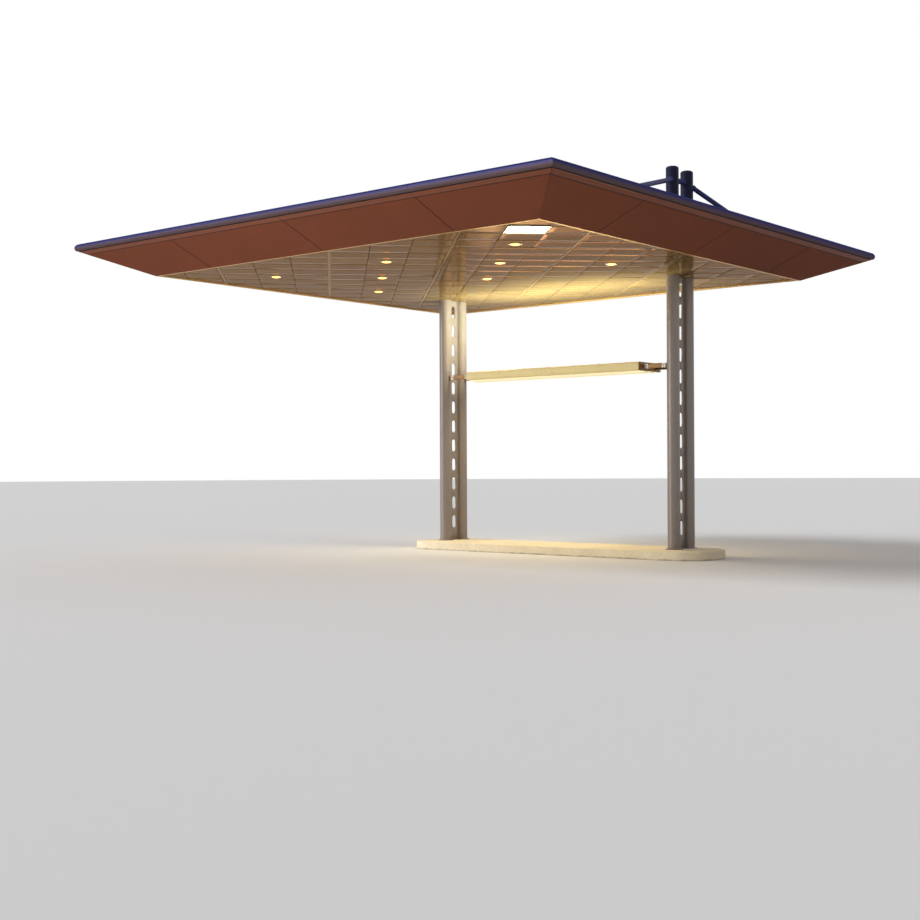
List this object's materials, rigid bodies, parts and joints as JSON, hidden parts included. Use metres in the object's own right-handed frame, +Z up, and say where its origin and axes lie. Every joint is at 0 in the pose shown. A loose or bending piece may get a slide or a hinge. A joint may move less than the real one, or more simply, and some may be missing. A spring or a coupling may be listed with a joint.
{
  "type": "filling station canopy",
  "caption": "Filling station canopy: a square roof with sloping soffits and a diagonal metal ceiling, hung from two pairs of masts on a concrete island, with a light bar between them.",
  "frame": {"origin": "On the ground, on the flat underside of the island, midway between the two pairs of masts.", "axes": "+X along the road to the right as seen from the road, +Y away from the road, +Z up"},
  "size_m": [9.78, 9.73, 6.665],
  "materials": {
    "concrete": "matte",
    "mast_paint": "satin",
    "stay_paint": "satin",
    "roof_metal": "satin",
    "soffit_panel": "satin",
    "ceiling_metal": "satin",
    "light_bar_metal": "satin",
    "tube_light": "emissive",
    "warm_light": "emissive",
    "girder_paint": "matte"
  },
  "bodies": {
    "root": {"island": "concrete", "left_front_mast": "mast_paint", "left_rear_mast": "mast_paint", "right_front_mast": "mast_paint", "right_rear_mast": "mast_paint", "left_web_plate": "mast_paint", "right_web_plate": "mast_paint", "mast_caps": "mast_paint", "mast_links": "mast_paint", "mast_collars": "roof_metal", "left_front_stay": "stay_paint", "right_front_stay": "stay_paint", "left_rear_stay": "stay_paint", "right_rear_stay": "stay_paint", "stay_shoes": "stay_paint", "light_bar_front_rail": "light_bar_metal", "light_bar_rear_rail": "light_bar_metal", "light_bar_ends": "light_bar_metal", "light_bar_upper_diffuser": "tube_light", "light_bar_lower_diffuser": "tube_light", "left_light_bracket": "mast_paint", "right_light_bracket": "mast_paint", "ceiling_bay_1": "ceiling_metal", "ceiling_bay_2": "ceiling_metal", "ceiling_bay_3": "ceiling_metal", "ceiling_bay_4": "ceiling_metal", "ceiling_bay_5": "ceiling_metal", "ceiling_bay_6": "ceiling_metal", "ceiling_bay_7": "ceiling_metal", "ceiling_runners": "ceiling_metal", "ceiling_lip": "ceiling_metal", "downlight_rims": "light_bar_metal", "downlight_lenses": "warm_light", "corner_light_frame": "light_bar_metal", "corner_light_panel": "tube_light", "front_soffit": "soffit_panel", "back_soffit": "soffit_panel", "left_soffit": "soffit_panel", "right_soffit": "soffit_panel", "edge_strips": "soffit_panel", "front_nosing": "roof_metal", "back_nosing": "roof_metal", "left_nosing": "roof_metal", "right_nosing": "roof_metal", "roof_deck": "roof_metal", "side_girders": "girder_paint", "cross_girders": "girder_paint"}
  },
  "joints": []
}
